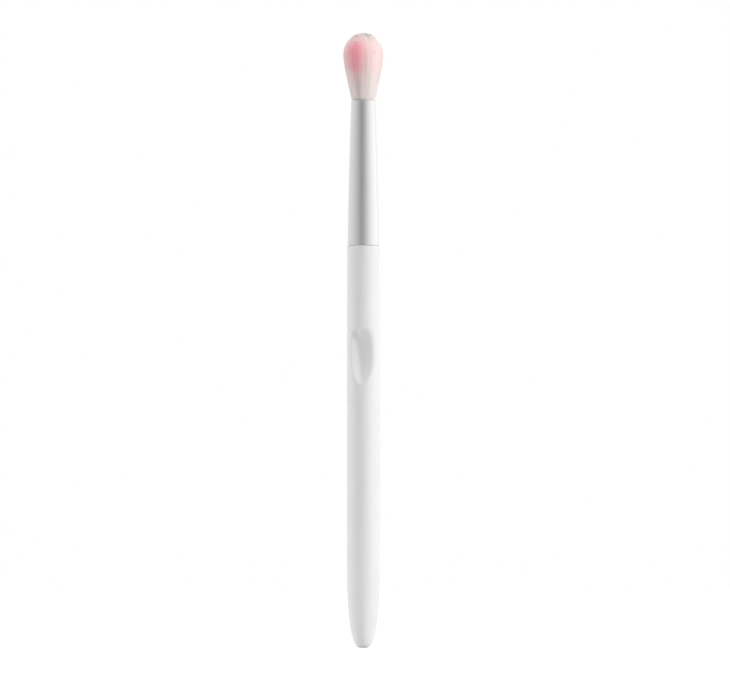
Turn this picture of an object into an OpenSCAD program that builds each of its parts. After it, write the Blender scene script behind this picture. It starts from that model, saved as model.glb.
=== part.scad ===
// Eyeshadow brush: a slim round handle with a heart-shaped thumb recess, a
// tapered metal ferrule and a domed tuft of soft fibres. Lengths are in
// millimetres. The origin is the middle of the butt end, +Z runs up the brush
// to the tuft, and the thumb recess faces -Y.

/* [Handle] */
// Length of the handle from the butt end to the ferrule
handle_len = 110.2; // [95:0.1:140]
// Diameter of the straight grip
grip_d = 9; // [8:0.1:11]
// Diameter of the shoulder that the ferrule stands on
shoulder_d = 8.78; // [8.4:0.01:10]
// Rounding of the shoulder's outer edge
shoulder_round = 0.2; // [0.05:0.05:0.4]
// Length over which the butt end narrows
butt_len = 20; // [10:0.5:35]

/* [Thumb recess] */
// Length of the recess along the handle
thumb_len = 16.4; // [12:0.1:22]
// Depth of the recess below the handle's surface
thumb_depth = 1.75; // [1:0.05:2.5]
// Hollow radius of each flank of the recess, across the handle
thumb_hollow_r = 24; // [12:0.5:40]
// How far each flank's middle lies out to its side, which tilts the flanks
thumb_spread = 3.8; // [0:0.1:6]
// How far the valley between the flanks lies aside of the handle's middle
thumb_aside = 0.8; // [0:0.1:1.2]
// Distance from the ferrule down to the top of the recess
thumb_drop = 21.8; // [16:0.1:34]
// Length of the long run-out towards the butt end
thumb_runout = 7.8; // [5:0.1:9]
// Length of the short, steep end of the recess
thumb_brow = 2.8; // [2.1:0.1:4]
// Length of the ridge between the two lobes, down from their tops
lobe_ridge_len = 5.6; // [4:0.1:8]
// Depth of the notch that the ridge makes in the recess's outline
lobe_notch = 1.5; // [0.5:0.1:2.5]
// Rounding of that ridge
lobe_ridge_r = 0.75; // [0.4:0.05:1.2]

/* [Ferrule] */
// Length of the ferrule that shows
ferrule_len = 39.8; // [34:0.1:55]
// Outer diameter of the ferrule's mouth
mouth_d = 6.64; // [5.6:0.02:7.6]
// Sheet thickness of the ferrule
ferrule_wall = 0.3; // [0.2:0.05:0.5]
// Swell of the ferrule's side beyond a straight taper
ferrule_swell = 0.085; // [0:0.005:0.3]
// How far the shoulder stands proud of the ferrule
shoulder_step = 0.08; // [0:0.01:0.3]
// Hairline gap between the shoulder and the ferrule
joint_gap = 0.1; // [0:0.01:0.3]

/* [Tenon] */
// Length of the tenon inside the ferrule
tenon_len = 14; // [8:0.5:20]
// Thickness of the adhesive round the tenon
glue_film = 0.15; // [0.1:0.01:0.3]
// Number of glue grooves round the tenon
groove_count = 3; // [1:1:4]
// Width of one glue groove
groove_w = 1.2; // [0.6:0.1:1.6]
// Depth of one glue groove
groove_depth = 0.3; // [0.1:0.05:0.6]
// Bevel on the tenon's leading edge
tenon_bevel = 0.6; // [0.2:0.1:1]

/* [Tuft] */
// Length of the tuft beyond the ferrule's mouth
tuft_len = 18.5; // [15:0.1:24]
// Diameter of the tuft at its fullest
tuft_d = 11.1; // [8:0.1:14]
// Height of the fullest part above the mouth
belly_rise = 11.5; // [9:0.1:12.5]
// Unevenness of the fibre tips
tip_scatter = 0.3; // [0:0.05:0.6]
// Rings of strands from the middle to the rim
strand_rings = 11; // [10:1:12]

/* [Resin plug] */
// Depth of the resin's surface below the ferrule's mouth
resin_drop = 2; // [1:0.1:4]
// Thickness of the resin slice that carries the strands
resin_slice = 1; // [0.5:0.1:2]
// Length of the resin plug under that slice
plug_len = 9; // [5:0.5:12]

/* [Hidden] */
$fn = 96;

// Clearance between parts that seat in one another
fit_clearance = 0.02;
// Steps along each curved stretch of an outline
curve_steps = 18;

grip_r = grip_d / 2;
shoulder_r = shoulder_d / 2;
ferrule_base_r = shoulder_r - shoulder_step;
mouth_r = mouth_d / 2;
ferrule_z = handle_len + joint_gap;
mouth_z = handle_len + ferrule_len;

// Powers of the butt end's rounded outline, lengthwise and across
butt_long_power = 2;
butt_cross_power = 3.4;

thumb_top_z = handle_len - thumb_drop;
thumb_low_z = thumb_top_z - thumb_len;
// Share of the recess's length by which the straight grip ends below it
grip_end_share = 0.08;
grip_top_z = thumb_low_z - grip_end_share * thumb_len;
// Radius of the handle where the recess is deepest
thumb_seat_r = handle_r(thumb_low_z + thumb_runout);
// Each flank is turned about a line in front of the handle
thumb_axis_y = thumb_seat_r - thumb_depth
    + sqrt(thumb_hollow_r * thumb_hollow_r - thumb_spread * thumb_spread);
// How much a flank's radius shrinks where the recess runs out to the surface
thumb_shrink = thumb_hollow_r - norm([thumb_axis_y - thumb_seat_r, thumb_spread]);
// The cut is carried on this far past each end of the recess
thumb_past_share = 0.1;

tuft_r = tuft_d / 2;
resin_top_z = mouth_z - resin_drop;
resin_low_z = resin_top_z - resin_slice;
plug_low_z = resin_low_z - fit_clearance - plug_len;
tip_z = mouth_z + tuft_len;
belly_z = mouth_z + belly_rise;
// Power of the dome's rounded outline
dome_power = 2.5;
// Rings of points on a strand after its root: where it leaves the mouth, near
// the top of the flare, and where its tip starts to taper, each with the spread
// of the tuft there and the share of its place that a strand fills
flare_rise_share = 0.74;
flare_spread_share = 0.935;
taper_start_share = 0.82;
strand_fill_shares = [0.86, 0.8, 0.67];
strand_spread = [
    ferrule_bore_r(mouth_z) - fit_clearance,
    flare_spread_share * tuft_r,
    tuft_r
];
// Spread of the tips, which curve in from the belly
tip_spread_share = 0.88;
// Turn from one strand's tip height to the next, which looks random
scatter_turn = 137.5;

// Radius of the handle above the butt end: straight grip, then an even taper
function handle_r(z) =
    z <= grip_top_z ? grip_r
    : grip_r + (shoulder_r - grip_r) * (z - grip_top_z) / (handle_len - grip_top_z);

// Outer radius of the ferrule: a straight taper with a shallow swell
function ferrule_r(z) =
    let (t = (z - handle_len) / ferrule_len)
    ferrule_base_r + (mouth_r - ferrule_base_r) * t + 4 * ferrule_swell * t * (1 - t);

function ferrule_bore_r(z) = ferrule_r(z) - ferrule_wall;

// Points on a circular arc from one angle to another
function arc(centre, r, from, to) = [
    for (i = [0:curve_steps])
        let (a = from + (to - from) * i / curve_steps)
        centre + r * [cos(a), sin(a)]
];

// Points along a function of height, as [radius, height]
function along(from, to, inset) = [
    for (i = [0:curve_steps])
        let (z = from + (to - from) * i / curve_steps)
        [ferrule_r(z) - inset, z]
];

// Butt end: a rounded outline between an ellipse and a box, from the axis out
function butt_outline() = [
    for (i = [0:curve_steps])
        let (a = 90 * i / curve_steps)
        [
            grip_r * pow(sin(a), 2 / butt_cross_power),
            butt_len * (1 - pow(cos(a), 2 / butt_long_power))
        ]
];

// Side of the tenon, which follows the ferrule's bore at the glue's thickness.
// With out > 0 it gives the adhesive's inner face, that far outside the tenon.
function tenon_side(out) = [
    let (inset = ferrule_wall + glue_film - out)
    let (pitch = tenon_len / (groove_count + 1))
    for (i = [1:groove_count])
        let (low = handle_len + i * pitch - groove_w / 2 + out)
        let (high = handle_len + i * pitch + groove_w / 2 - out)
        each [
            [ferrule_r(low) - inset, low],
            [ferrule_r(low) - inset - groove_depth, low],
            [ferrule_r(high) - inset - groove_depth, high],
            [ferrule_r(high) - inset, high]
        ]
];

tenon_inset = ferrule_wall + glue_film;
tenon_top_z = handle_len + tenon_len;

// The handle's outline, from the butt end up to the top of the tenon
function handle_outline() = concat(
    butt_outline(),
    [[grip_r, grip_top_z]],
    arc([shoulder_r - shoulder_round, handle_len - shoulder_round], shoulder_round, 0, 90),
    [[ferrule_r(handle_len) - tenon_inset, handle_len]],
    tenon_side(0),
    [
        [ferrule_r(tenon_top_z - tenon_bevel) - tenon_inset, tenon_top_z - tenon_bevel],
        [ferrule_r(tenon_top_z) - tenon_inset - tenon_bevel, tenon_top_z],
        [0, tenon_top_z]
    ]
);

// Radius of the arc by which a flank's radius shrinks over a run
function runout_r(run) = (run * run + thumb_shrink * thumb_shrink) / (2 * thumb_shrink);

// Outline of one flank's cutter, as [distance from its axis, height]: a long
// arc up from the low end, a straight middle and a short arc to the top
function thumb_outline() =
    let (low_r = runout_r(thumb_runout))
    let (top_r = runout_r(thumb_brow))
    let (low_end = asin(thumb_runout * (1 + thumb_past_share) / low_r))
    let (top_end = asin(min(1, thumb_brow * (1 + thumb_past_share) / top_r)))
    concat(
        [[0, thumb_low_z - thumb_past_share * thumb_runout]],
        arc([thumb_hollow_r - low_r, thumb_low_z + thumb_runout], low_r, -low_end, 0),
        arc([thumb_hollow_r - top_r, thumb_top_z - thumb_brow], top_r, 0, top_end),
        [[0, thumb_top_z + thumb_past_share * thumb_brow]]
    );

// The ridge between the lobes: a wall with a round crest, which climbs aslant
// from the floor of the recess to the handle's surface
module lobe_ridge() {
    foot_z = thumb_top_z - lobe_ridge_len;
    foot_y = thumb_seat_r - thumb_depth;
    crest_z = thumb_top_z - lobe_notch;
    lean = atan2(handle_r(crest_z) - foot_y, crest_z - foot_z);
    translate([0, -foot_y, foot_z])
        rotate([lean, 0, 0])
            translate([0, lobe_ridge_r, -lobe_ridge_len])
                linear_extrude(3 * lobe_ridge_len) {
                    circle(lobe_ridge_r);
                    translate([-lobe_ridge_r, 0])
                        square([2 * lobe_ridge_r, thumb_depth]);
                }
}

// One flank of the recess: a barrel in front of the handle, less the ridge
module thumb_flank(side) {
    translate([-thumb_aside, 0, 0])
        difference() {
            translate([side * thumb_spread, -thumb_axis_y, 0])
                rotate_extrude()
                    polygon(thumb_outline());
            lobe_ridge();
        }
}

// What either flank leaves of the handle stays, so the two flanks cross in a
// valley, which gives the recess its pointed low end
module handle() {
    color("whitesmoke")
        union()
            for (side = [-1, 1])
                difference() {
                    rotate_extrude()
                        polygon(handle_outline());
                    thumb_flank(side);
                }
}

// Drawn tube with a rounded lip, the same wall all the way
module ferrule() {
    lip_r = ferrule_wall / 2;
    lip_z = mouth_z - lip_r;
    color("silver")
        rotate_extrude()
            polygon(concat(
                along(ferrule_z, lip_z, 0),
                arc([ferrule_r(lip_z) - lip_r, lip_z], lip_r, 0, 180),
                along(lip_z, ferrule_z, ferrule_wall)
            ));
}

// Fills the space between the tenon and the ferrule, grooves and all
module tenon_adhesive() {
    low_z = ferrule_z;
    high_z = tenon_top_z - tenon_bevel;
    inner_inset = tenon_inset - fit_clearance;
    outer_inset = ferrule_wall + fit_clearance;
    grooves = tenon_side(fit_clearance);
    color("ivory")
        rotate_extrude()
            polygon(concat(
                along(low_z, high_z, outer_inset),
                [[ferrule_r(high_z) - inner_inset, high_z]],
                [for (i = [len(grooves) - 1:-1:0]) grooves[i]],
                [[ferrule_r(low_z) - inner_inset, low_z]]
            ));
}

module root_plug() {
    top_z = resin_low_z - fit_clearance;
    color("goldenrod")
        rotate_extrude()
            polygon(concat(
                [[0, plug_low_z]],
                along(plug_low_z, top_z, ferrule_wall + fit_clearance),
                [[0, top_z]]
            ));
}

// Rings of points on a disc of radius 1: ring k has 6k points, and the ring
// numbers and places below name a point as [ring, place]
function disc_point(p) =
    p[0] == 0 ? [0, 0] : p[0] / strand_rings * [cos(60 * p[1] / p[0]), sin(60 * p[1] / p[0])];
function disc_index(p) =
    p[0] == 0 ? 0 : 1 + 3 * p[0] * (p[0] - 1) + p[1] % (6 * p[0]);

// Each strand roots in a triangle with two corners on its ring and one on the
// ring inside it
strand_seats = [
    for (k = [1:strand_rings])
        for (j = [0:6 * k - 1])
            [[k, j], [k, j + 1], [k - 1, floor(j / k) * (k - 1) + j % k]]
];

// The triangles between the strands, which stay as the resin's surface
resin_gaps = [
    for (k = [2:strand_rings])
        for (j = [0:6 * k - 1])
            let (t = floor(j / k))
            let (i = j % k)
            if (i < k - 1)
                [[k - 1, t * (k - 1) + i], [k - 1, t * (k - 1) + i + 1], [k, j + 1]]
];

function middle(seat) = (disc_point(seat[0]) + disc_point(seat[1]) + disc_point(seat[2])) / 3;

// Height of a tip on the dome at a share of the tuft's radius
function dome_z(share) =
    belly_z + (tip_z - belly_z) * pow(1 - pow(share, dome_power), 1 / dome_power);

function at_height(p, r, z) = [r * p[0], r * p[1], z];

// A strand's three rings of three points, and its tip
function strand_points(seat, number) =
    let (m = middle(seat))
    let (drop = tip_scatter * (1 - cos(number * scatter_turn)) / 2)
    let (top_z = dome_z(tip_spread_share * norm(m)) - drop)
    let (rise = [
        mouth_z,
        mouth_z + flare_rise_share * belly_rise,
        mouth_z + taper_start_share * (top_z - mouth_z)
    ])
    concat(
        [
            for (level = [0:2])
                for (corner = seat)
                    at_height(
                        m + strand_fill_shares[level] * (disc_point(corner) - m),
                        strand_spread[level],
                        rise[level]
                    )
        ],
        [at_height(m, tip_spread_share * tuft_r, top_z)]
    );

// Two triangles between the edge p-q and the edge above it
function wall(p, q, p_up, q_up) = [[p, p_up, q_up], [p, q_up, q]];

// One closed surface: the resin slice, with every strand drawn out of its top
module bristle_tuft() {
    rim = 6 * strand_rings;
    disc_count = 1 + 3 * strand_rings * (strand_rings + 1);
    rim_first = disc_count - rim;
    low_centre = disc_count + rim;
    strand_first = low_centre + 1;
    strand_size = 10;
    root_r = ferrule_bore_r(resin_top_z) - fit_clearance;
    disc = concat(
        [[0, 0, resin_top_z]],
        [
            for (k = [1:strand_rings])
                for (j = [0:6 * k - 1])
                    at_height(disc_point([k, j]), root_r, resin_top_z)
        ]
    );
    low_rim = [
        for (j = [0:rim - 1])
            at_height(disc_point([strand_rings, j]), root_r, resin_low_z)
    ];
    strands = [
        for (s = [0:len(strand_seats) - 1])
            each strand_points(strand_seats[s], s)
    ];
    root_walls = [
        for (s = [0:len(strand_seats) - 1])
            for (c = [0:2])
                let (first = strand_first + s * strand_size)
                let (d = (c + 1) % 3)
                each wall(
                    disc_index(strand_seats[s][c]),
                    disc_index(strand_seats[s][d]),
                    first + c,
                    first + d
                )
    ];
    strand_walls = [
        for (s = [0:len(strand_seats) - 1])
            for (level = [0:1])
                for (c = [0:2])
                    let (low = strand_first + s * strand_size + 3 * level)
                    let (d = (c + 1) % 3)
                    each wall(low + c, low + d, low + 3 + c, low + 3 + d)
    ];
    tips = [
        for (s = [0:len(strand_seats) - 1])
            for (c = [0:2])
                let (top = strand_first + s * strand_size + 6)
                [top + c, top + 3, top + (c + 1) % 3]
    ];
    gaps = [
        for (gap = resin_gaps)
            [disc_index(gap[0]), disc_index(gap[1]), disc_index(gap[2])]
    ];
    side = [
        for (j = [0:rim - 1])
            let (k = (j + 1) % rim)
            each wall(disc_count + j, disc_count + k, rim_first + j, rim_first + k)
    ];
    underside = [for (j = [0:rim - 1]) [low_centre, disc_count + j, disc_count + (j + 1) % rim]];
    color("mistyrose")
        polyhedron(
            points = concat(disc, low_rim, [[0, 0, resin_low_z]], strands),
            faces = concat(root_walls, strand_walls, tips, gaps, side, underside)
        );
}

handle();
ferrule();
bristle_tuft();
root_plug();
tenon_adhesive();
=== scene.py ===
"""Looks of an eyeshadow brush: moulded handle, drawn ferrule and dyed fibre tuft.

Lengths are in millimetres until a mesh is made, which is in metres. +Z runs up
the brush from the middle of the butt end, and the thumb recess faces -Y. A turn
is an angle round the brush in radians, from -Y towards +X.
"""

import math

import bpy
import numpy as np
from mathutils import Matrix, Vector


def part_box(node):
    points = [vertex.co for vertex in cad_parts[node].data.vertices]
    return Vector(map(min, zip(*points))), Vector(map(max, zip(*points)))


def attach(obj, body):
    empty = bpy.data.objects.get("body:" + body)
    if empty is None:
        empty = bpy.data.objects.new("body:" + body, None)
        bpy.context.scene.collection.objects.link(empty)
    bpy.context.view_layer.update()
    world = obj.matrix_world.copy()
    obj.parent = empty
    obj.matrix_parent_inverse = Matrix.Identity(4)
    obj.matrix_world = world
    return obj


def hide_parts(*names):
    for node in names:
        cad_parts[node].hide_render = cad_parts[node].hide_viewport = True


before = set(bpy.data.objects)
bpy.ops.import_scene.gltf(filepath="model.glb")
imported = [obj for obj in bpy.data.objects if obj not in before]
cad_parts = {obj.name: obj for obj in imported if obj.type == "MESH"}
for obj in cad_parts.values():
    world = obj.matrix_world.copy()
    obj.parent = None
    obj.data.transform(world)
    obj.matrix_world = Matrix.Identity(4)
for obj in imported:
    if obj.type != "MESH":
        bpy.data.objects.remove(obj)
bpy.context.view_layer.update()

MM = 0.001
ferrule_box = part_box("ferrule")
tuft_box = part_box("bristle_tuft")

# Handle
handle_len = 110.2
grip_r = 4.5
grip_top_z = 70.69
shoulder_r = 4.39
shoulder_round = 0.2
butt_len = 20.0
# Power of the oval that rounds the butt end, and how far its rings crowd to the pole
butt_power = 3.4
butt_crowding = 1.6

# Thumb recess
thumb_len = 15.9
thumb_depth = 1.75
thumb_hollow_r = 24.0
thumb_top_z = 87.9
thumb_runout = 7.6
thumb_low_z = thumb_top_z - thumb_len
# Height at which the recess is deepest
thumb_seat_z = thumb_low_z + thumb_runout
# How far aside the axis of the left flank and of the right flank lies
thumb_spread_left = 4.6
thumb_spread_right = 3.8
# Length over which the floor rises to the top edge, in the left lobe and in the right
thumb_brow_left = 1.7
thumb_brow_right = 6.0
# Place of the valley between the flanks, at the low end and at the top
valley_low_x = -0.5
valley_top_x = -1.15
valley_blend = 0.2
# Softness of the moulded rim, and at the middle of its right side
rim_blend = 0.15
rim_blend_right = 1.9
# Half the turn over which the one softness passes into the other
rim_change_turn = 0.45
# The softness of the right side ends from this far under the top to this far over it
rim_fade_under = 2.0
rim_fade_over = 0.3
# How far out over the skin the rim's rounding may reach
rim_reach = 2.4
# Ridge between the lobes: its length down from the top, how far under the top it meets the
# skin, the power of its climb, the rounding of its crest and the softness of its foot
ridge_len = 5.6
ridge_notch = 0.7
ridge_curve = 1.8
ridge_r = 0.6
ridge_blend = 0.3

# Ferrule
ferrule_low_z = ferrule_box[0].z / MM
mouth_z = ferrule_box[1].z / MM
mouth_r = 3.32
ferrule_base_r = 4.31
ferrule_wall = 0.3
ferrule_swell = 0.085

# Tenon, glued into the ferrule
tenon_top_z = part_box("handle")[1].z / MM
glue_film = 0.15
groove_count = 3
groove_w = 1.2
groove_depth = 0.3
tenon_bevel = 0.6

# Resin bed
resin_low_z = tuft_box[0].z / MM
resin_slice = 1.0
resin_clearance = 0.02
# How far the resin climbs the bore, and the share of its radius at which that starts
resin_climb = 0.15
resin_climb_share = 0.8

# Outline of the tuft
tip_z = tuft_box[1].z / MM
tuft_r = 5.52
# Radius just over the lip, and the height over the mouth at which the cone meets the belly
waist_r = 3.12
belly_rise = 11.0
belly_blend = 0.2
# How far under the mouth the fibres start to spread over the lip, and how far over it they end
lip_under = 0.05
lip_over = 0.7
# Where the sides stop rising straight and the dome begins
dome_z = 162.2
dome_power = 2.15

# Fibres: those of the core fill the tuft evenly, and those of the skin crowd at its edge
core_count = 3200
skin_count = 4600
fibre_count = core_count + skin_count
fibre_pieces = 4
fibre_r = 0.036
golden_turn = math.pi * (3 - math.sqrt(5))
# Depth of the skin, and the share inside which a fibre lies loose, in shares of the radius
skin_depth = 0.05
loose_share = 0.9
# How deep a fibre's end stands in the resin
root_depth = 0.1
root_z = resin_low_z + resin_slice - root_depth
# Heights over the mouth at which a fibre has a ring, and its steps over the dome
side_steps = [0.0, 0.3, 0.7, 1.8, 4.0, 6.5, 9.0]
dome_steps = 6
# How far under the tuft's top the domes of the core, the skin and the inner body stand
core_drop = 0.13
skin_drop = 0.05
body_drop = 0.2
# The part of the dome's quarter turn over which the skin's tips are spread
tip_from = 0.35
tip_to = 1.0
# Share of the radius that the core's dome is read at, and how far a core fibre leans in on it
dome_share = 0.985
core_lean = 0.06
# Random lift of a lock and of a fibre, the most that both lift a core fibre's tip, and how
# far below the dome the shortest fibres of the core end
lock_lift_spread = 0.12
fibre_lift_spread = 0.1
lift_most = 0.1
stagger = 2.0
# Random places of the roots and of the locks' middles, in shares of the radius
root_scatter = 0.006
lock_scatter = 0.04
# Locks: how many, the turn of the first, how far one draws its fibres in, the range of that
# from lock to lock, and from where to where up the tuft it grows
lock_count = 40
lock_first_turn = 0.4
lock_pull = 0.05
pull_range = (0.4, 1.6)
pull_rise = (0.15, 0.95)
# Random sway of a loose fibre, its waves up the fibre, and the height that it grows over
sway_spread = 0.05
sway_turns = 0.75
sway_rise = 5.0
# Taper: the share of its length at which a fibre starts to thin, how much of its radius
# goes, and the range of its thickness
thin_from = 0.72
thin_share = 0.75
thickness_range = (0.85, 1.1)
# Partings that the skin turns away from: where, how wide, how far, and over what heights
parting_turns = np.radians([-8.0, 24.0, 75.0, 140.0, -150.0, -80.0])
parting_width = math.radians(6)
parting_depth = math.radians(1.0)
parting_z = (mouth_z - 0.5, mouth_z + 6)
# How far under the skin the packed fibres are too deep to tell apart
body_depth = 0.16

# Painted shade in lines where locks part: where, how strong, how wide, and the heights that
# they come in and go out over
line_turns = np.radians([10.0, -15.0, -27.0, 38.0, 66.0, 92.0, 121.0, 158.0, -176.0, -131.0, -98.0, -55.0])
line_strengths = np.array([0.2, 0.16, 0.12, 0.06, 0.12, 0.12, 0.18, 0.15, 0.12, 0.18, 0.15, 0.12])
line_width = math.radians(3)
line_in_z = (152.0, 159.0)
line_out_z = (165.5, 161.5)
# A wide band of painted shade at the front, which runs down to the ferrule
low_line_turn = math.radians(-18.5)
low_line_width = math.radians(9)
low_line_strength = 0.21
low_line_out_z = (159.0, 153.0)
# How far up the fibres the painted shade at their roots by the ferrule's lip reaches, and how dark it is
root_shade_rise = 0.5
root_shade_strength = 0.12

# Dye: its patches round the tuft, how wide they are, and its strength between them. The dye is
# uneven, and the low dye on the lit right front also stands for its sheen, a painted highlight
patch_turns = np.radians([-22.0, 136.0, -145.0])
patch_width = math.radians(30)
dye_between = 0.26
# Heights of the faint wash and of the uneven dip line over it, and the wash's share
wash_z = (150.0, 158.0)
dip_z = (156.0, 160.5)
wash_share = 0.35
# Heights over which the dye goes again, how much of it goes, and how uneven that line is
fade_z = (164.3, 167.8)
fade_share = 0.85
fade_wave = 0.3
# How the dip line follows a lock's lift, how it varies from fibre to fibre, and the length of
# a fibre's pale tip
dip_lift = 4
dip_scatter = 0.25
pale_len = 1.2

# Mesh density: columns across the recess and round the back, the half turn and the margin
# within which they lie closest, and rings from the butt end up
front_columns = 111
back_columns = 75
dense_turn = 1.05
dense_margin = 2.0
butt_rings = 60
grip_rings = 34
recess_rings = 180
neck_rings = 18
shoulder_rings = 8
ferrule_rings = 90
lip_rings = 14
ferrule_columns = 144
resin_rings = 24
resin_columns = 96
body_side_rings = 40
body_dome_rings = 30
body_columns = 240
# Edges of the rigid pieces stay sharp past this angle
sharp_degrees = 40


def linear(hex_colour):
    """sRGB hex, such as "#D98A92", as linear red, green, blue and alpha."""
    channels = [int(hex_colour[i : i + 2], 16) / 255 for i in (1, 3, 5)]
    return [c / 12.92 if c <= 0.04045 else ((c + 0.055) / 1.055) ** 2.4 for c in channels] + [1.0]


def add(tree, kind, settings=None, links=None):
    """Adds a node. A key in settings names a field of the node, or else a socket by name or number."""
    node = tree.nodes.new(kind)
    for key, value in (settings or {}).items():
        if isinstance(key, str) and hasattr(node, key):
            setattr(node, key, value)
        else:
            node.inputs[key].default_value = value
    for key, output in (links or {}).items():
        tree.links.new(output, node.inputs[key])
    return node


def add_object(name, data):
    """Puts a new object that shows data in the scene."""
    new = bpy.data.objects.new(name, data)
    bpy.context.scene.collection.objects.link(new)
    return new


def smoothstep(low, high, value):
    """0 up to low and 1 from high on, with an S curve between them. Low may be the larger."""
    t = np.clip((value - low) / (high - low), 0, 1)
    return t * t * (3 - 2 * t)


def bell(distance, width):
    """1 at no distance, falling off on both sides as exp(-(distance / width) ** 2)."""
    return np.exp(-((distance / width) ** 2))


def soft_lower(a, b, blend):
    """The lower of a and b, rounded off where they are within blend of each other."""
    near = np.maximum(blend - np.abs(a - b), 0) / blend
    return np.minimum(a, b) - near * near * blend / 4


def soft_upper(a, b, blend):
    """The upper of a and b, rounded off in the same way."""
    return -soft_lower(-a, -b, blend)


def full_turn(columns):
    """Evenly spaced turns, once round the brush."""
    return np.linspace(0, 2 * math.pi, columns, endpoint=False)


def turn_between(turn, others):
    """How far each turn lies past each of the others, the shorter way round."""
    return (turn[..., None] - others + math.pi) % (2 * math.pi) - math.pi


def make_mesh(name, points, faces, sharp_from=None):
    """A smooth-shaded mesh object from points in millimetres and faces of equal corner count."""
    mesh = bpy.data.meshes.new(name)
    corners = faces.shape[1]
    mesh.vertices.add(len(points))
    mesh.vertices.foreach_set("co", (points * MM).astype(np.float32).ravel())
    mesh.loops.add(faces.size)
    mesh.loops.foreach_set("vertex_index", faces.astype(np.int32).ravel())
    mesh.polygons.add(len(faces))
    mesh.polygons.foreach_set("loop_start", np.arange(0, faces.size, corners, dtype=np.int32))
    mesh.update(calc_edges=True)
    mesh.shade_smooth()
    if sharp_from:
        mesh.set_sharp_from_angle(angle=math.radians(sharp_from))
    return add_object(name, mesh)


def set_layers(piece, layers):
    """Stores a value per vertex for each named layer."""
    for label, values in layers.items():
        layer = piece.data.attributes.new(label, "FLOAT", "POINT")
        layer.data.foreach_set("value", values.astype(np.float32).ravel())


def ring_faces(rings, columns, closed_rings=False):
    """Faces that join a grid of rings, with each of its cells as two triangles.

    The last ring may join the first, as round a tube's wall.
    """
    low = np.arange(rings if closed_rings else rings - 1)[:, None] * columns
    high = (low + columns) % (rings * columns)
    here = np.arange(columns)[None, :]
    there = (here + 1) % columns
    a, b, c, d = low + here, low + there, high + there, high + here
    return np.concatenate([
        np.stack([a, b, c], -1).reshape(-1, 3),
        np.stack([a, c, d], -1).reshape(-1, 3),
    ])


def turned(profile_r, profile_z, turns):
    """Points of a surface turned about Z: each ring is one point of the profile, at every turn."""
    r = np.broadcast_to(profile_r, (len(profile_z), len(turns)))
    z = np.broadcast_to(np.asarray(profile_z)[:, None], r.shape)
    return np.stack([r * np.sin(turns), -r * np.cos(turns), z], -1).reshape(-1, 3)


def closed_turning(profile_r, profile_z, turns, low_z, top_z):
    """Points and faces of a turned surface whose first and last ring close on poles at two heights."""
    rings, columns = len(profile_z), len(turns)
    here = np.arange(columns)
    there = (here + 1) % columns
    last = (rings - 1) * columns
    low_pole = np.full(columns, rings * columns)
    points = np.concatenate([turned(profile_r, profile_z, turns), [[0, 0, low_z], [0, 0, top_z]]])
    faces = np.concatenate([
        ring_faces(rings, columns),
        np.stack([there, here, low_pole], -1),
        np.stack([last + here, last + there, low_pole + 1], -1),
    ])
    return points, faces


def ferrule_r(z):
    """Outer radius of the ferrule: a straight taper with a shallow swell in its middle."""
    t = (z - handle_len) / (mouth_z - handle_len)
    return ferrule_base_r + (mouth_r - ferrule_base_r) * t + 4 * ferrule_swell * t * (1 - t)


def handle_r(z):
    """Radius of the handle above its butt end: straight, then an even taper to the shoulder."""
    taper = (z - grip_top_z) / (handle_len - grip_top_z)
    return grip_r + (shoulder_r - grip_r) * np.clip(taper, 0, 1)


def hollow_r(turns, z):
    """Distance from the axis to the recess's floor, which two flanks form where they cross in a valley.

    Each flank is a barrel about an upright line in front of the handle, to one
    side, and its floor is where a ray from the axis meets that barrel. Its radius
    shrinks by a long arc towards the low end and by a short one at the top. A
    ridge parts the lobes: its crest climbs from the valley to the notch by a
    power of the height, and its sides fall off by the square of the distance.
    """
    foot_r = handle_r(thumb_seat_z) - thumb_depth
    lean = valley_low_x + (valley_top_x - valley_low_x) * smoothstep(thumb_low_z, thumb_top_z, z)
    flanks = []
    for spread, brow in ((thumb_spread_left, thumb_brow_left), (-thumb_spread_right, thumb_brow_right)):
        axis_y = foot_r + math.sqrt(thumb_hollow_r ** 2 - spread ** 2)
        shrink = thumb_hollow_r - math.hypot(axis_y - handle_r(thumb_seat_z), spread)
        past = np.where(z < thumb_seat_z, thumb_seat_z - z, np.maximum(z - thumb_top_z + brow, 0))
        run = np.where(z < thumb_seat_z, thumb_runout, brow)
        arc_r = (run ** 2 + shrink ** 2) / (2 * shrink)
        barrel_r = thumb_hollow_r - arc_r + np.sqrt(np.maximum(arc_r ** 2 - past ** 2, 0))
        aside = (lean + spread)[:, None]
        along = aside * np.sin(turns) + axis_y * np.cos(turns)
        reach = along ** 2 - aside ** 2 - axis_y ** 2 + barrel_r[:, None] ** 2
        flank = along - np.sqrt(np.maximum(reach, 0))
        flanks.append(np.where((np.cos(turns) > 0) & (reach > 0), flank, 2 * grip_r))
    foot_z = thumb_top_z - ridge_len
    crest_z = thumb_top_z - ridge_notch
    climb = (z[:, None] - foot_z) / (crest_z - foot_z)
    crest_r = foot_r + (handle_r(crest_z) - foot_r) * np.sign(climb) * np.abs(climb) ** ridge_curve
    off_crest = grip_r * turns[None, :] - lean[:, None]
    ridge = crest_r - off_crest ** 2 / (2 * ridge_r)
    return soft_upper(soft_upper(flanks[0], flanks[1], valley_blend), ridge, ridge_blend)


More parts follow.
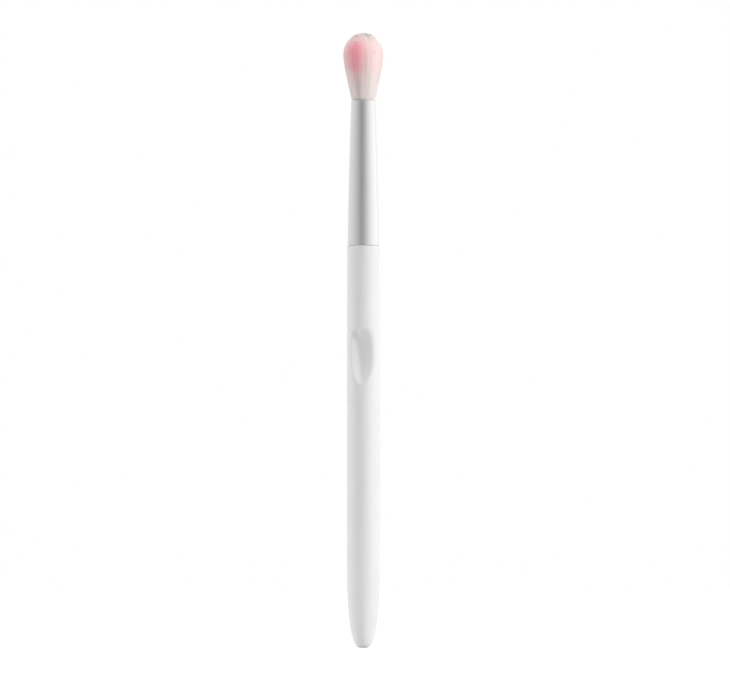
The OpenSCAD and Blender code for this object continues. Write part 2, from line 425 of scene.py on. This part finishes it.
def skin_r(side, turns, z):
    """Radius of the handle's skin with the recess in it, under a rim that is softer on the right.

    side is the plain handle's radius at each height. Outside the recess the
    hollow's distance nears side + rim_reach, so that the rim's rounding ends.
    """
    soft_z = smoothstep(thumb_low_z, thumb_seat_z, z)
    soft_z = soft_z * smoothstep(thumb_top_z + rim_fade_over, thumb_top_z - rim_fade_under, z)
    soft_turn = smoothstep(-rim_change_turn, rim_change_turn, turns)
    softness = rim_blend + (rim_blend_right - rim_blend) * soft_z[:, None] * soft_turn
    hollow = hollow_r(turns, z)
    above = np.maximum(hollow - side, 0)
    hollow = np.minimum(hollow, side) + above / (1 + above / rim_reach)
    return soft_lower(side + 0 * turns, hollow, softness)


def tenon_profile():
    """Radius and height along the tenon, which follows the ferrule's bore at the glue's thickness."""
    inset = ferrule_wall + glue_film
    pitch = (tenon_top_z - handle_len) / (groove_count + 1)
    steps = [(handle_len, 0.0)]
    for i in range(1, groove_count + 1):
        low = handle_len + i * pitch - groove_w / 2
        steps += [(low, 0), (low, groove_depth), (low + groove_w, groove_depth), (low + groove_w, 0)]
    steps += [(tenon_top_z - tenon_bevel, 0), (tenon_top_z, tenon_bevel)]
    z, depth = np.array(steps, float).T
    return ferrule_r(z) - inset - depth, z


def make_handle():
    """One closed surface: rounded butt, grip with the recess, shoulder and hidden tenon.

    The butt end follows radius = grip_r * sin(a) ** (2 / power) and height =
    butt_len * (1 - cos(a)). Columns and rings lie closest at the recess.
    """
    front = np.linspace(-dense_turn, dense_turn, front_columns)
    back = np.linspace(dense_turn, 2 * math.pi - dense_turn, back_columns)[1:-1]
    turns = np.concatenate([front, back])
    wrapped = np.where(turns > math.pi, turns - 2 * math.pi, turns)
    a = np.linspace(0, 1, butt_rings) ** butt_crowding * math.pi / 2
    butt_r = grip_r * np.sin(a) ** (2 / butt_power)
    butt_z = butt_len * (1 - np.cos(a))
    dense_low_z = thumb_low_z - dense_margin
    dense_top_z = thumb_top_z + dense_margin
    z = np.concatenate([
        butt_z[1:],
        np.linspace(butt_len, dense_low_z, grip_rings)[1:],
        np.linspace(dense_low_z, dense_top_z, recess_rings)[1:],
        np.linspace(dense_top_z, handle_len - shoulder_round, neck_rings)[1:],
    ])
    side = np.concatenate([butt_r[1:], handle_r(z[len(butt_r) - 1 :])])[:, None]
    edge = np.linspace(0, math.pi / 2, shoulder_rings)[1:]
    edge_r = shoulder_r - shoulder_round * (1 - np.cos(edge))
    edge_z = handle_len - shoulder_round * (1 - np.sin(edge))
    tenon_r, tenon_z = tenon_profile()
    plain_r = np.concatenate([edge_r, tenon_r])[:, None]
    all_r = np.concatenate([skin_r(side, wrapped, z), plain_r + 0 * turns])
    all_z = np.concatenate([z, edge_z, tenon_z])
    points, faces = closed_turning(all_r, all_z, turns, 0, tenon_top_z)
    return make_mesh("moulded_handle", points, faces, sharp_degrees)


def make_ferrule():
    """A drawn tube: up its outer side, over a rounded lip and down its bore, closed at its foot."""
    lip_r = ferrule_wall / 2
    lip_z = mouth_z - lip_r
    side_z = np.linspace(ferrule_low_z, lip_z, ferrule_rings)
    lip = np.linspace(0, math.pi, lip_rings)[1:-1]
    profile_r = np.concatenate([
        ferrule_r(side_z),
        ferrule_r(lip_z) - lip_r + lip_r * np.cos(lip),
        ferrule_r(side_z[::-1]) - ferrule_wall,
    ])
    profile_z = np.concatenate([side_z, lip_z + lip_r * np.sin(lip), side_z[::-1]])
    points = turned(profile_r[:, None], profile_z, full_turn(ferrule_columns))
    faces = ring_faces(len(profile_z), ferrule_columns, closed_rings=True)
    return make_mesh("drawn_ferrule", points, faces, sharp_degrees)


def make_resin_bed():
    """The top slice of the cured resin, a closed disc whose upper edge climbs a little up the bore."""
    top_z = resin_low_z + resin_slice
    bore_r = ferrule_r(top_z) - ferrule_wall - resin_clearance
    share = np.linspace(0, 1, resin_rings)[1:]
    climb = resin_climb * smoothstep(resin_climb_share, 1.0, share)
    middle_z = top_z - resin_climb
    profile_r = np.concatenate([[bore_r], (bore_r * share)[::-1]])[:, None]
    profile_z = np.concatenate([[resin_low_z], (middle_z + climb)[::-1]])
    points, faces = closed_turning(profile_r, profile_z, full_turn(resin_columns), resin_low_z, middle_z)
    return make_mesh("resin_bed", points, faces, sharp_degrees)


def spread_r(z):
    """Radius of the tuft at a height: out of the bore, over the lip and up a cone to the belly."""
    leave = smoothstep(mouth_z - lip_under, mouth_z + lip_over, z)
    rise = np.maximum(soft_lower((z - mouth_z) / belly_rise, 1, belly_blend), 0)
    bore = mouth_r - ferrule_wall - 2 * fibre_r
    return bore + (waist_r - bore) * leave + (tuft_r - waist_r) * rise


def dome_top(share, top_z):
    """Height of the dome at a share of the tuft's radius, where share ** power + height ** power = 1."""
    return dome_z + (top_z - dome_z) * (1 - share ** dome_power) ** (1 / dome_power)


def dye_strength(turn, z, wave):
    """How much dye a fibre holds: in patches round the tuft, down to an uneven line, and less at the top.

    Between the patches the dye is uneven, and on the lit right front its paleness is partly painted sheen.
    """
    patch = bell(turn_between(turn, patch_turns), patch_width).sum(-1)
    around = dye_between + (1 - dye_between) * patch
    soaked = wash_share * smoothstep(*wash_z, z) + (1 - wash_share) * smoothstep(*dip_z, z + wave)
    return around * soaked * (1 - fade_share * smoothstep(*fade_z, z + fade_wave * wave))


def parting_shade(turn, z):
    """Painted shade: how dark a place is in thin lines where locks part, in a wide band down to the ferrule,
    and at the roots by the lip.
    """
    lines = (line_strengths * bell(turn_between(turn, line_turns), line_width)).sum(-1)
    lines = lines * smoothstep(*line_in_z, z) * smoothstep(*line_out_z, z)
    # Painted shade in a wide band down the front to the ferrule
    low_line = bell(turn - low_line_turn, low_line_width) * smoothstep(*low_line_out_z, z)
    # Painted shade at the roots, where the fibres meet the ferrule's lip
    root_shade = smoothstep(mouth_z + root_shade_rise, mouth_z, z)
    return lines + low_line_strength * low_line + root_shade_strength * root_shade


def make_fibre_body():
    """The packed fibres too deep to tell apart, as one closed form a little inside the skin of the tuft."""
    top_z = tip_z - body_drop
    side_z = np.linspace(resin_low_z + resin_slice, dome_z, body_side_rings)
    share = np.cos(np.linspace(0, math.pi / 2, body_dome_rings))[1:-1]
    profile_r = np.concatenate([spread_r(side_z) - body_depth, share * (tuft_r - body_depth)])[:, None]
    profile_z = np.concatenate([side_z, dome_top(share, top_z)])
    points, faces = closed_turning(profile_r, profile_z, full_turn(body_columns), side_z[0], top_z)
    piece = make_mesh("tuft_body", points, faces)
    turn = np.arctan2(points[:, 0], -points[:, 1])
    z = points[:, 2]
    none = 0 * z
    shade = parting_shade(turn, z)
    set_layers(piece, {"dye": dye_strength(turn, z, none), "pale": none, "tone": none + 0.5, "shade": shade})
    return piece


def even_shares(count):
    """Shares of a disc's radius that spread so many places evenly over it."""
    return np.sqrt((np.arange(count) + 0.5) / count)


def disc_places(share, turn):
    """Places on a disc of radius 1, by their share of its radius and their turn."""
    return np.stack([share * np.sin(turn), -share * np.cos(turn)], -1)


def seat_fibres(random):
    """Where each fibre stands in the tuft, as a place on a disc of radius 1, and how loose it lies.

    The places follow a spiral that turns by the golden angle. The core's spread
    evenly over the disc, and the skin's crowd at its edge.
    """
    edge_share = 1 - skin_depth * random.uniform(0, 1, skin_count) ** 3
    share = np.concatenate([even_shares(core_count), edge_share])
    loose = smoothstep(1.0, loose_share, share)[:, None]
    seat = disc_places(share, np.arange(fibre_count) * golden_turn)
    seat += random.normal(0, root_scatter, seat.shape) * loose
    return seat, loose


def gather_locks(seat, random):
    """The middle of each fibre's lock, how far the fibre is drawn there, and how far the lock stands up."""
    turn = np.arange(lock_count) * golden_turn + lock_first_turn
    middle = disc_places(even_shares(lock_count), turn)
    middle += random.normal(0, lock_scatter, middle.shape)
    nearest = np.linalg.norm(seat[:, None] - middle[None], axis=-1).argmin(1)
    pull = lock_pull * random.uniform(*pull_range, lock_count)
    lift = random.normal(0, lock_lift_spread, lock_count)
    return middle[nearest], pull[nearest], lift[nearest]


def raise_fibres(share, lift, random):
    """Height, share of the spread and tilt at each ring of each fibre.

    A fibre in the core goes nearly straight up to the dome. One in the skin bends over
    with the dome by part of a quarter turn, with share = cos(bend) ** (2 / power)
    and height = sin(bend) ** (2 / power).
    """
    top = dome_top(dome_share * share, tip_z - core_drop)
    top += np.minimum(lift + random.normal(0, fibre_lift_spread, fibre_count), lift_most)
    top -= stagger * random.uniform(0, 1, fibre_count) ** 3
    side_z = np.concatenate([[root_z], mouth_z + np.array(side_steps), [dome_z]])
    side_z = np.broadcast_to(side_z, (fibre_count, len(side_z)))
    over = np.arange(1, dome_steps + 1) / dome_steps
    bend = np.radians(90 * random.uniform(tip_from, tip_to, fibre_count))[:, None] * over
    in_skin = (np.arange(fibre_count) >= core_count)[:, None]
    rounding = 2 / dome_power
    bent_z = dome_z + (tip_z - skin_drop - dome_z) * np.sin(bend) ** rounding
    straight_z = dome_z + (top[:, None] - dome_z) * over
    straight_share = 1 - core_lean * smoothstep(dome_z, tip_z, straight_z)
    kept_share = np.where(in_skin, np.cos(bend) ** rounding, straight_share)
    return (
        np.concatenate([side_z, np.where(in_skin, bent_z, straight_z)], 1),
        np.concatenate([np.ones_like(side_z), kept_share], 1),
        np.concatenate([np.zeros_like(side_z), np.where(in_skin, bend, 0 * bend)], 1),
    )


def make_tubes(path, heading, tilt, thickness, first_corner):
    """Points of a three-sided tube round each path, and the faces of one tube, which closes on its tip."""
    corners = np.radians([0, 120, 240])[None, :] + first_corner
    level = np.zeros_like(heading)
    outward = np.stack([np.sin(heading), -np.cos(heading), level], -1)
    sideways = np.stack([np.cos(heading), np.sin(heading), level], -1)
    outward = outward * np.cos(tilt)[..., None] + np.array([0, 0, 1.0]) * np.sin(tilt)[..., None]
    around = (sideways[:, :, None] * np.cos(corners)[:, None, :, None]
              - outward[:, :, None] * np.sin(corners)[:, None, :, None])
    rings = path[:, :-1, None] + around[:, :-1] * thickness[:, :-1, None, None]
    points = np.concatenate([rings.reshape(len(path), -1, 3), path[:, -1:]], 1)
    tip = points.shape[1] - 1
    a, b, c = tip - 3, tip - 2, tip - 1
    ends = np.array([[a, b, tip], [b, c, tip], [c, a, tip], [2, 1, 0]])
    return points, np.concatenate([ring_faces(path.shape[1] - 1, 3), ends])


def at_corners(values):
    """A value per ring as one per point of a tube: the same at a ring's three corners, and one at the tip."""
    return np.concatenate([np.repeat(values[:, :-1], 3, axis=1), values[:, -1:]], 1)


def make_fibres():
    """Tapered fibres that stand in the resin and fan out to a dome, dealt out to a few pieces.

    A fibre keeps its share of the tuft's radius at every height up to the dome.
    Towards its tip it draws a little to the middle of its lock, and near the skin
    it turns away from the partings.
    """
    random = np.random.default_rng(7)
    seat, loose = seat_fibres(random)
    lock_seat, pull, lift = gather_locks(seat, random)
    turn = np.arctan2(seat[:, 0], -seat[:, 1])
    share = np.minimum(np.linalg.norm(seat, axis=1), 1)
    off = turn_between(turn, parting_turns)
    push = np.sign(off) * parting_depth * bell(off, parting_width)
    part = (push * (share[:, None] ** 2)).sum(1)
    z, kept_share, tilt = raise_fibres(share, lift, random)

    gather = (smoothstep(*pull_rise, (z - mouth_z) / (tip_z - mouth_z)) * pull[:, None])[..., None]
    flat = seat[:, None] * (1 - gather) + lock_seat[:, None] * gather
    heading = np.arctan2(flat[..., 0], -flat[..., 1]) + smoothstep(*parting_z, z) * part[:, None]
    r = np.minimum(np.linalg.norm(flat, axis=-1), 1.0) * spread_r(z) * kept_share
    wave = np.sin((z - root_z) / (tip_z - root_z) * math.pi * 2 * sway_turns)
    wave = (wave * smoothstep(mouth_z, mouth_z + sway_rise, z))[..., None]
    sway = (random.normal(0, sway_spread, (fibre_count, 2)) * loose)[:, None] * wave
    path = np.stack([r * np.sin(heading) + sway[..., 0], -r * np.cos(heading) + sway[..., 1], z], -1)
    steps = np.linalg.norm(np.diff(path, axis=1), axis=-1)
    from_tip = np.concatenate([np.cumsum(steps[:, ::-1], 1)[:, ::-1], np.zeros((fibre_count, 1))], 1)
    thinned = 1 - thin_share * smoothstep(thin_from, 1.0, 1 - from_tip / from_tip[:, :1])
    thickness = fibre_r * thinned * random.uniform(*thickness_range, (fibre_count, 1))
    first_corner = random.uniform(0, 2 * math.pi, (fibre_count, 1))
    points, faces = make_tubes(path, heading, tilt, thickness, first_corner)

    height = at_corners(z)
    turn = np.broadcast_to(turn[:, None], height.shape)
    uneven = lift[:, None] * dip_lift + random.normal(0, dip_scatter, (fibre_count, 1))
    layers = {
        "dye": dye_strength(turn, height, uneven),
        "pale": 1 - smoothstep(0.0, pale_len, at_corners(from_tip)),
        "tone": np.broadcast_to(random.uniform(0, 1, (fibre_count, 1)), height.shape),
        "shade": parting_shade(turn, height),
    }
    pieces = []
    for k in range(fibre_pieces):
        own = slice(k, fibre_count, fibre_pieces)
        own_points = points[own]
        first = np.arange(len(own_points))[:, None, None] * points.shape[1]
        own_faces = (faces[None] + first).reshape(-1, 3)
        piece = make_mesh(f"tuft_fibres_{k + 1}", own_points.reshape(-1, 3), own_faces)
        set_layers(piece, {label: values[own] for label, values in layers.items()})
        pieces.append(piece)
    return pieces


def new_material(name):
    """A material named for its finish, and its empty node tree."""
    material = bpy.data.materials.new(name)
    material.use_nodes = True
    material.node_tree.nodes.clear()
    return material, material.node_tree


def moulded_plastic():
    """ABS, moulded in white in a spark-eroded mould: an even white with a satin bloom on its highlights."""
    material, tree = new_material("ABS_moulded_satin_white")
    place = add(tree, "ShaderNodeTexCoord")
    # The real grain is some 0.03 mm, too fine to show, so it is drawn coarser
    grain_mm = 0.16
    grain = add(tree, "ShaderNodeTexNoise", {"Scale": 1 / (grain_mm * MM), "Detail": 2.0},
                {"Vector": place.outputs["Object"]})
    # Faint clouds in the white, as from the flow of the melt
    cloud_mm = 7.0
    cloud = add(tree, "ShaderNodeTexNoise", {"Scale": 1 / (cloud_mm * MM), "Detail": 3.0},
                {"Vector": place.outputs["Object"]})
    colour = add(tree, "ShaderNodeMix",
                 {"data_type": "RGBA", 6: linear("#EDECEC"), 7: linear("#E9E8E8")},
                 {0: cloud.outputs[0]})
    rough = add(tree, "ShaderNodeMapRange",
                {"From Min": 0.3, "From Max": 0.7, "To Min": 0.36, "To Max": 0.44},
                {"Value": grain.outputs[0]})
    bump = add(tree, "ShaderNodeBump", {"Strength": 0.25, "Distance": 0.004 * MM},
               {"Height": grain.outputs[0]})
    shader = add(tree, "ShaderNodeBsdfPrincipled", {"IOR": 1.53},
                 {"Base Color": colour.outputs[2], "Roughness": rough.outputs[0],
                  "Normal": bump.outputs[0]})
    add(tree, "ShaderNodeOutputMaterial", {}, {"Surface": shader.outputs[0]})
    return material


def drawn_aluminium():
    """Aluminium tube, deep drawn, spun to a taper and matt anodised: grey-white with a faint ring grain."""
    material, tree = new_material("aluminium_drawn_matt_anodised")
    place = add(tree, "ShaderNodeTexCoord")
    # Marks of the tool: the real ones are some 0.03 mm apart, too fine to show, so they are
    # drawn coarser, and drawn out across the axis, so that they lie in rings
    ring_mm = 0.12
    drawn_out = 0.03
    around = add(tree, "ShaderNodeMapping", {"Scale": (drawn_out, drawn_out, 1.0)},
                 {"Vector": place.outputs["Object"]})
    rings = add(tree, "ShaderNodeTexNoise", {"Scale": 1 / (ring_mm * MM), "Detail": 3.0},
                {"Vector": around.outputs[0]})
    # Pits of the matt etch, also drawn coarser than they are
    pit_mm = 0.1
    pits = add(tree, "ShaderNodeTexNoise", {"Scale": 1 / (pit_mm * MM), "Detail": 2.0},
               {"Vector": place.outputs["Object"]})
    colour = add(tree, "ShaderNodeMix",
                 {"data_type": "RGBA", 6: linear("#ECEBEB"), 7: linear("#E6E5E6")},
                 {0: rings.outputs[0]})
    rough = add(tree, "ShaderNodeMapRange",
                {"From Min": 0.3, "From Max": 0.7, "To Min": 0.36, "To Max": 0.43},
                {"Value": pits.outputs[0]})
    bump = add(tree, "ShaderNodeBump", {"Strength": 0.2, "Distance": 0.002 * MM},
               {"Height": rings.outputs[0]})
    shader = add(tree, "ShaderNodeBsdfPrincipled", {"Metallic": 1.0},
                 {"Base Color": colour.outputs[2], "Roughness": rough.outputs[0],
                  "Normal": bump.outputs[0]})
    add(tree, "ShaderNodeOutputMaterial", {}, {"Surface": shader.outputs[0]})
    return material


def dyed_fibre():
    """Tapered PBT filament, white at the root, dip-dyed pink and paler at its tip: a soft, silky sheen.

    The layer dye sets its pink, pale its tip, tone its shade among its
    neighbours, and shade the painted shade of the partings, of a band down to the
    ferrule and of the roots by the lip.
    """
    material, tree = new_material("PBT_filament_dip_dyed")
    dye, pale, tone, shade = [
        add(tree, "ShaderNodeAttribute", {"attribute_name": layer}).outputs["Fac"]
        for layer in ("dye", "pale", "tone", "shade")
    ]
    root = add(tree, "ShaderNodeMix",
               {"data_type": "RGBA", 6: linear("#F0E6E2"), 7: linear("#F6EFEB")}, {0: tone})
    pink = add(tree, "ShaderNodeMix",
               {"data_type": "RGBA", 6: linear("#F9A2AE"), 7: linear("#FDB0BA")}, {0: tone})
    dyed = add(tree, "ShaderNodeMix", {"data_type": "RGBA"},
               {0: dye, 6: root.outputs[2], 7: pink.outputs[2]})
    tipped = add(tree, "ShaderNodeMix", {"data_type": "RGBA", 7: linear("#FFF0F0")},
                 {0: pale, 6: dyed.outputs[2]})
    # Painted shade: the shade layer darkens the fibres towards this brown in the partings, down the front to
    # the ferrule, and at the roots by the lip
    shaded = add(tree, "ShaderNodeMix", {"data_type": "RGBA", 7: linear("#9A6A68")},
                 {0: shade, 6: tipped.outputs[2]})
    shader = add(tree, "ShaderNodeBsdfPrincipled", {"IOR": 1.55, "Roughness": 0.5},
                 {"Base Color": shaded.outputs[2]})
    add(tree, "ShaderNodeOutputMaterial", {}, {"Surface": shader.outputs[0]})
    return material


def cured_resin(name, light, dark, cloud_mm):
    """Poured epoxy that has set: a smooth, glossy, slightly cloudy body colour."""
    material, tree = new_material(name)
    place = add(tree, "ShaderNodeTexCoord")
    cloud = add(tree, "ShaderNodeTexNoise", {"Scale": 1 / (cloud_mm * MM), "Detail": 3.0},
                {"Vector": place.outputs["Object"]})
    colour = add(tree, "ShaderNodeMix", {"data_type": "RGBA", 6: linear(light), 7: linear(dark)},
                 {0: cloud.outputs[0]})
    rough = add(tree, "ShaderNodeMapRange", {"To Min": 0.15, "To Max": 0.3}, {"Value": cloud.outputs[0]})
    shader = add(tree, "ShaderNodeBsdfPrincipled", {"IOR": 1.55},
                 {"Base Color": colour.outputs[2], "Roughness": rough.outputs[0]})
    add(tree, "ShaderNodeOutputMaterial", {}, {"Surface": shader.outputs[0]})
    return material


def paint(piece, material):
    """Gives a piece one material and no other."""
    piece.data.materials.clear()
    piece.data.materials.append(material)


def dress(piece, material, replaced):
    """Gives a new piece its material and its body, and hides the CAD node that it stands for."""
    paint(piece, material)
    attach(piece, "root")
    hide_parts(replaced)


dress(make_handle(), moulded_plastic(), "handle")
dress(make_ferrule(), drawn_aluminium(), "ferrule")
fibre_finish = dyed_fibre()
for fibres in [make_fibre_body(), *make_fibres()]:
    dress(fibres, fibre_finish, "bristle_tuft")
amber = cured_resin("epoxy_cured_amber", "#C9A66B", "#B98F4E", cloud_mm=1.2)
ivory = cured_resin("epoxy_film_ivory", "#E6DCC0", "#D8CBA4", cloud_mm=0.8)
dress(make_resin_bed(), amber, "bristle_tuft")
paint(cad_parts["root_plug"], amber)
paint(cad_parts["tenon_adhesive"], ivory)


# Camera: the photo's frame and scale, where the brush's axis and middle stand in it, the
# middle's height, how far round to the right it stands in degrees, and how far away
photo_w = 730
photo_h = 681
photo_mm_per_px = 0.2742
axis_px = 363.3
middle_px = 340.25
middle_z = 84.25
view_azimuth = 3.5
camera_distance = 1500.0
# Floor: half its width, and how much it glows for the camera. World: its plain brightness
floor_half = 350.0
floor_glow = 0.36
world_level = 0.265
# Soft boxes
box_size = 450.0
box_distance = 900.0
# Spot on the tuft, and how far over the dome's foot it is aimed
spot_r = 10.0
spot_distance = 300.0
spot_degrees = 5.6
spot_rise = 0.6
# Screen that only gloss sees, and its brightness by azimuth to the camera's right, in degrees
screen_r = 700.0
screen_high = 900.0
screen_columns = 181
screen_turns = [-187, -147, -107, -67, -42, -19, -5, 9, 25, 41, 58, 78, 113, 153]
screen_levels = [0.8, 0.93, 0.84, 0.66, 0.48, 0.225, 0.23, 0.4, 0.61, 0.79, 1.0, 1.15, 1.3, 0.98]


def seen_behind(tree):
    """1 for rays from the camera, off gloss or through glass, and 0 for the rest."""
    path = add(tree, "ShaderNodeLightPath")
    direct = add(tree, "ShaderNodeMath", {"operation": "MAXIMUM"},
                 {0: path.outputs["Is Camera Ray"], 1: path.outputs["Is Glossy Ray"]})
    seen = add(tree, "ShaderNodeMath", {"operation": "MAXIMUM"},
               {0: direct.outputs[0], 1: path.outputs["Is Transmission Ray"]})
    return seen.outputs[0]


def make_floor():
    """A pale floor. It glows a little for the camera, so that it is white but keeps the brush's shadow."""
    corners = np.array([[-1, -1, 0], [1, -1, 0], [1, 1, 0], [-1, 1, 0]]) * floor_half
    floor = make_mesh("studio_floor", corners, np.array([[0, 1, 2, 3]]))
    material, tree = new_material("paper_roll_white")
    paper = add(tree, "ShaderNodeBsdfDiffuse", {"Color": linear("#E6E6E6")})
    glow = add(tree, "ShaderNodeEmission", {"Color": linear("#FFFFFF"), "Strength": floor_glow})
    both = add(tree, "ShaderNodeAddShader", {}, {0: paper.outputs[0], 1: glow.outputs[0]})
    mixed = add(tree, "ShaderNodeMixShader", {},
                {0: seen_behind(tree), 1: paper.outputs[0], 2: both.outputs[0]})
    add(tree, "ShaderNodeOutputMaterial", {}, {"Surface": mixed.outputs[0]})
    paint(floor, material)


def make_world():
    """White for the camera, gloss and glass, and plain grey light for the rest."""
    world = bpy.data.worlds.new("studio")
    world.use_nodes = True
    tree = world.node_tree
    tree.nodes.clear()
    plain = add(tree, "ShaderNodeBackground", {"Color": linear("#FFFFFF"), "Strength": world_level})
    white = add(tree, "ShaderNodeBackground", {"Color": linear("#FFFFFF"), "Strength": 1.0})
    mixed = add(tree, "ShaderNodeMixShader", {},
                {0: seen_behind(tree), 1: plain.outputs[0], 2: white.outputs[0]})
    add(tree, "ShaderNodeOutputWorld", {}, {"Surface": mixed.outputs[0]})
    bpy.context.scene.world = world


def make_screen():
    """A round screen of lit cloth that only gloss sees: dim at the front left, brightest at the right."""
    turns = np.linspace(-math.pi, math.pi, screen_columns)
    points = turned(np.full((2, 1), screen_r), np.array([-screen_high, screen_high]), turns)
    screen = make_mesh("lit_screen", points, ring_faces(2, screen_columns)[:, ::-1])
    levels = np.interp(np.degrees(turns) - view_azimuth, screen_turns, screen_levels, period=360)
    set_layers(screen, {"level": np.tile(levels, 2)})
    material, tree = new_material("cloth_lit")
    level = add(tree, "ShaderNodeAttribute", {"attribute_name": "level"})
    glow = add(tree, "ShaderNodeEmission", {"Color": linear("#FFFFFF")}, {"Strength": level.outputs["Fac"]})
    add(tree, "ShaderNodeOutputMaterial", {}, {"Surface": glow.outputs[0]})
    paint(screen, material)
    screen.visible_camera = False
    screen.visible_diffuse = False
    screen.visible_shadow = False
    screen.visible_transmission = False


def place_lamp(data, azimuth, elevation, distance_m, aim_z):
    """Stands a lamp away from the brush, aimed at a height on it, with its azimuth to the camera's right."""
    turn, lift = math.radians(view_azimuth + azimuth), math.radians(elevation)
    away = Vector((math.sin(turn) * math.cos(lift), -math.cos(turn) * math.cos(lift), math.sin(lift)))
    lamp = add_object(data.name, data)
    lamp.location = Vector((0, 0, aim_z * MM)) + away * distance_m
    lamp.rotation_euler = away.to_track_quat("Z", "Y").to_euler()
    lamp.visible_glossy = False
    lamp.visible_camera = False


def make_soft_box(name, azimuth, elevation, level):
    """A square soft box. Its level is the brightness that it alone gives a white face turned to it."""
    data = bpy.data.lights.new(name, "AREA")
    data.shape = "SQUARE"
    data.size = box_size * MM
    distance_m = box_distance * MM
    data.energy = level * (math.pi * distance_m) ** 2
    place_lamp(data, azimuth, elevation, distance_m, middle_z)


def make_spot(name, azimuth, elevation, level, aim_z):
    """A snooted lamp whose beam fades from its middle, where its level means what a soft box's does."""
    data = bpy.data.lights.new(name, "SPOT")
    data.spot_size = math.radians(spot_degrees)
    data.spot_blend = 1.0
    data.shadow_soft_size = spot_r * MM
    distance_m = spot_distance * MM
    data.energy = 4 * level * (math.pi * distance_m) ** 2
    place_lamp(data, azimuth, elevation, distance_m, aim_z)


def make_camera():
    """A long lens at the height of the brush's middle, square on, turned a little to the recess's right."""
    data = bpy.data.cameras.new("camera")
    data.sensor_fit = "HORIZONTAL"
    data.sensor_width = 36.0
    data.lens = data.sensor_width * camera_distance / (photo_w * photo_mm_per_px)
    data.clip_end = 10.0
    turn = math.radians(view_azimuth)
    across = Vector((math.cos(turn), math.sin(turn), 0))
    back = Vector((math.sin(turn), -math.cos(turn), 0))
    aim = across * (photo_w / 2 - axis_px) * photo_mm_per_px
    aim.z = middle_z - (photo_h / 2 - middle_px) * photo_mm_per_px
    camera = add_object("camera", data)
    camera.location = (aim + back * camera_distance) * MM
    camera.rotation_euler = (math.pi / 2, 0, turn)
    bpy.context.scene.camera = camera


make_floor()
make_world()
make_screen()
make_soft_box("key", azimuth=70, elevation=18, level=0.638)
make_soft_box("front", azimuth=0, elevation=15, level=0.085)
make_soft_box("top", azimuth=0, elevation=78, level=0.3)
make_soft_box("back", azimuth=180, elevation=20, level=0.25)
make_soft_box("left", azimuth=-93, elevation=12, level=0.472)
make_spot("tuft", azimuth=15, elevation=24, level=0.32, aim_z=dome_z + spot_rise)
make_camera()
bpy.context.scene.view_settings.view_transform = "Standard"
